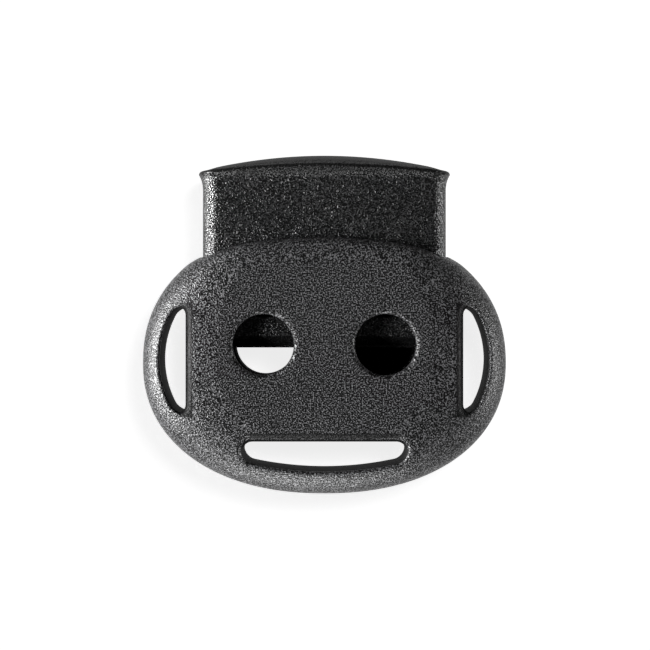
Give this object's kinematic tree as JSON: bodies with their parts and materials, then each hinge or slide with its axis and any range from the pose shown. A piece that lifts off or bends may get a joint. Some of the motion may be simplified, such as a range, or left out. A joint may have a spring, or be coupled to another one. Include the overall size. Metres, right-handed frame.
{
  "type": "cord lock",
  "caption": "Oval two-hole cord lock with a sprung push button, round cord holes and webbing slots at both sides and below.",
  "frame": {"origin": "on the flat back face, midway between the two cord holes", "axes": "+Z out of the front face, +Y towards the push button, +X to the right seen from the front; the lock lies on its back"},
  "size_m": [0.0302, 0.0282, 0.01],
  "materials": {
    "body_plastic": "black acetal, fine spark-eroded grain",
    "button_plastic": "black acetal, finer grain with a soft sheen",
    "spring_steel": "bright drawn wire"
  },
  "bodies": {
    "shell": {"body": "body_plastic", "spring": "spring_steel"},
    "plunger": {"button": "button_plastic"}
  },
  "joints": [
    {"name": "button_press", "type": "slide", "parent": "shell", "child": "plunger", "axis": [0, -1, 0], "range_m": [0, 0.00475], "stiffness_N_per_m": 2200, "springref_m": -0.003, "deforming": ["spring"]}
  ]
}
